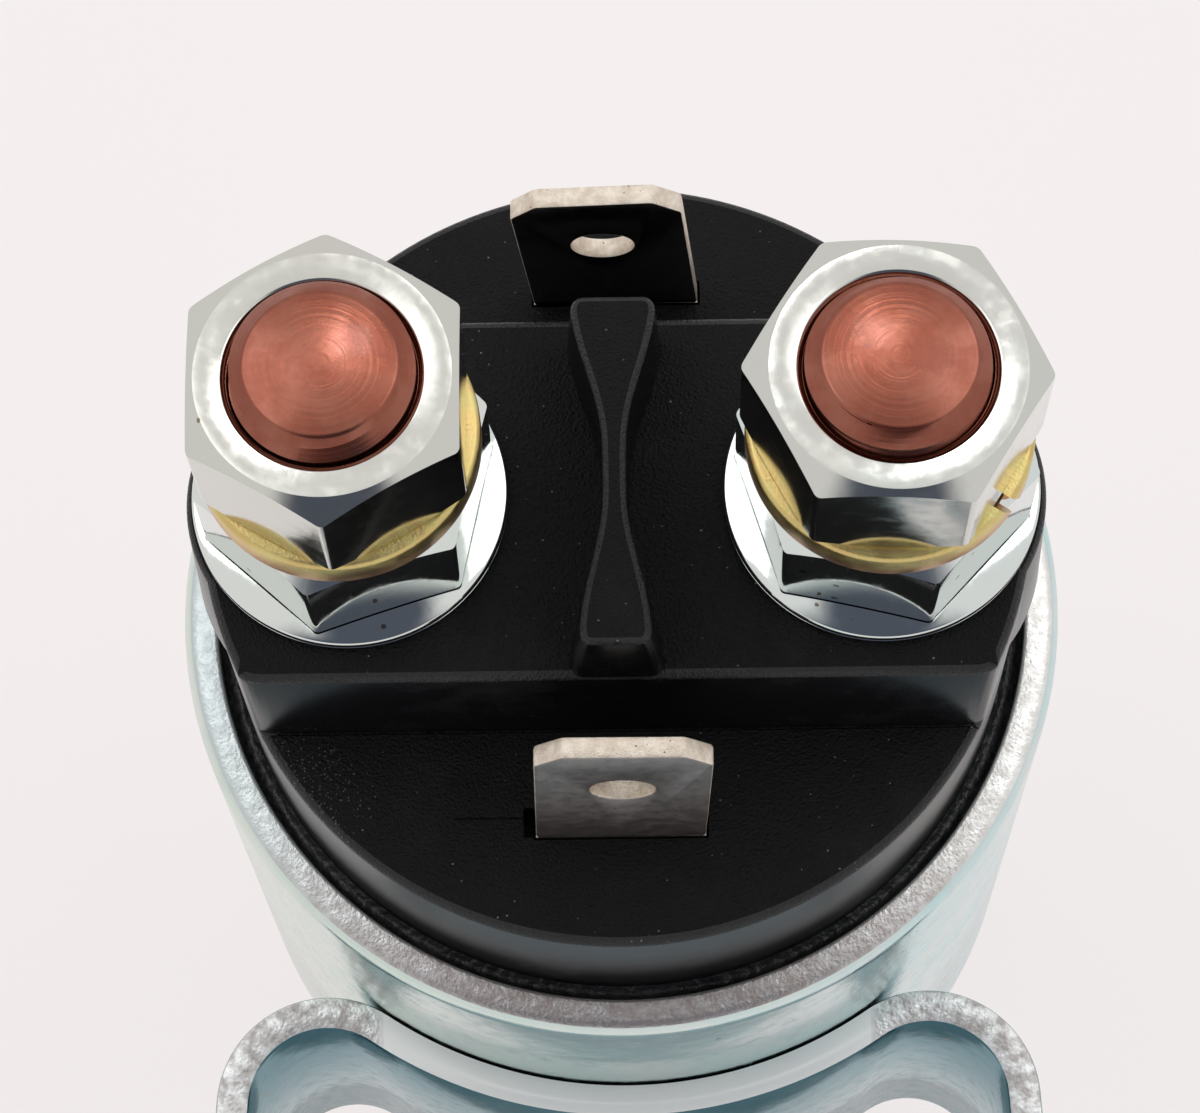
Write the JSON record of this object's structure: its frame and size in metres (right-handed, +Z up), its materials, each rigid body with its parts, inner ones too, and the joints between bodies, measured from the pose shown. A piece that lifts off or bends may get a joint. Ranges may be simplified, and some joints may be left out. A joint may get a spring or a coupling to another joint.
{
  "type": "starter solenoid relay",
  "caption": "Round steel-cased starter solenoid relay with a strip mounting bracket, a black moulded cap, two copper studs with nuts and two blade terminals.",
  "frame": {"origin": "centre of the flat underside of the can", "axes": "+Z up the can towards the terminals, -Y towards the mounting bracket, the two studs in a line along X"},
  "size_m": [0.082, 0.0619, 0.0882],
  "materials": {
    "zinc_steel": "clear zinc plating with a pale green-blue cast",
    "black_moulding": "satin moulded thermoset with a fine speckle",
    "sealing_compound": "dark cured compound",
    "fibre": "pressed insulating board",
    "soft_iron": "turned iron",
    "bobbin_nylon": "natural moulded nylon",
    "enamelled_copper": "enamelled copper wire",
    "coil_tape": "polyester tape",
    "brass": "drawn brass",
    "spring_steel": "drawn steel wire and strip",
    "copper": "bright rolled copper",
    "zinc_nut": "bright zinc plating",
    "yellow_zinc": "yellow chromate zinc plating",
    "tinned_brass": "tinned brass with a warm tint"
  },
  "bodies": {
    "housing": {"can": "zinc_steel", "mounting_bracket": "zinc_steel", "terminal_cap": "black_moulding", "seal_ring": "sealing_compound", "cap_gasket": "sealing_compound", "insulator_disc": "fibre", "pole_plate": "soft_iron", "core_stop": "soft_iron", "bobbin": "bobbin_nylon", "coil_winding": "enamelled_copper", "coil_tape": "coil_tape", "guide_tube": "brass", "lead_wire_front": "enamelled_copper", "lead_wire_rear": "enamelled_copper", "stop_washer": "fibre", "return_spring": "spring_steel", "stud_left": "copper", "stud_right": "copper", "stud_seal_left": "sealing_compound", "stud_seal_right": "sealing_compound", "flange_nut_left": "zinc_nut", "flange_nut_right": "zinc_nut", "lock_washer_left": "yellow_zinc", "lock_washer_right": "yellow_zinc", "terminal_nut_left": "zinc_nut", "terminal_nut_right": "zinc_nut", "coil_tab_front": "tinned_brass", "coil_tab_rear": "tinned_brass"},
    "plunger": {"plunger": "soft_iron", "push_rod": "spring_steel", "spring_seat": "spring_steel", "contact_spring": "spring_steel", "retaining_clip": "spring_steel"},
    "contact": {"contact_disc": "copper", "lower_bush": "fibre", "upper_washer": "fibre"}
  },
  "joints": [
    {"name": "plunger_slide", "type": "slide", "parent": "housing", "child": "plunger", "axis": [0, 0, 1], "range_m": [0, 0.003], "stiffness_N_per_m": 1500, "springref_m": -0.004, "deforming": ["return_spring"]},
    {"name": "contact_slide", "type": "slide", "parent": "plunger", "child": "contact", "axis": [0, 0, 1], "range_m": [-0.0008, 0], "stiffness_N_per_m": 3000, "springref_m": 0.001, "deforming": ["contact_spring"]}
  ],
  "couplings": [
    {"joint": "contact_slide", "follows": "plunger_slide", "ratio": -0.26667}
  ]
}
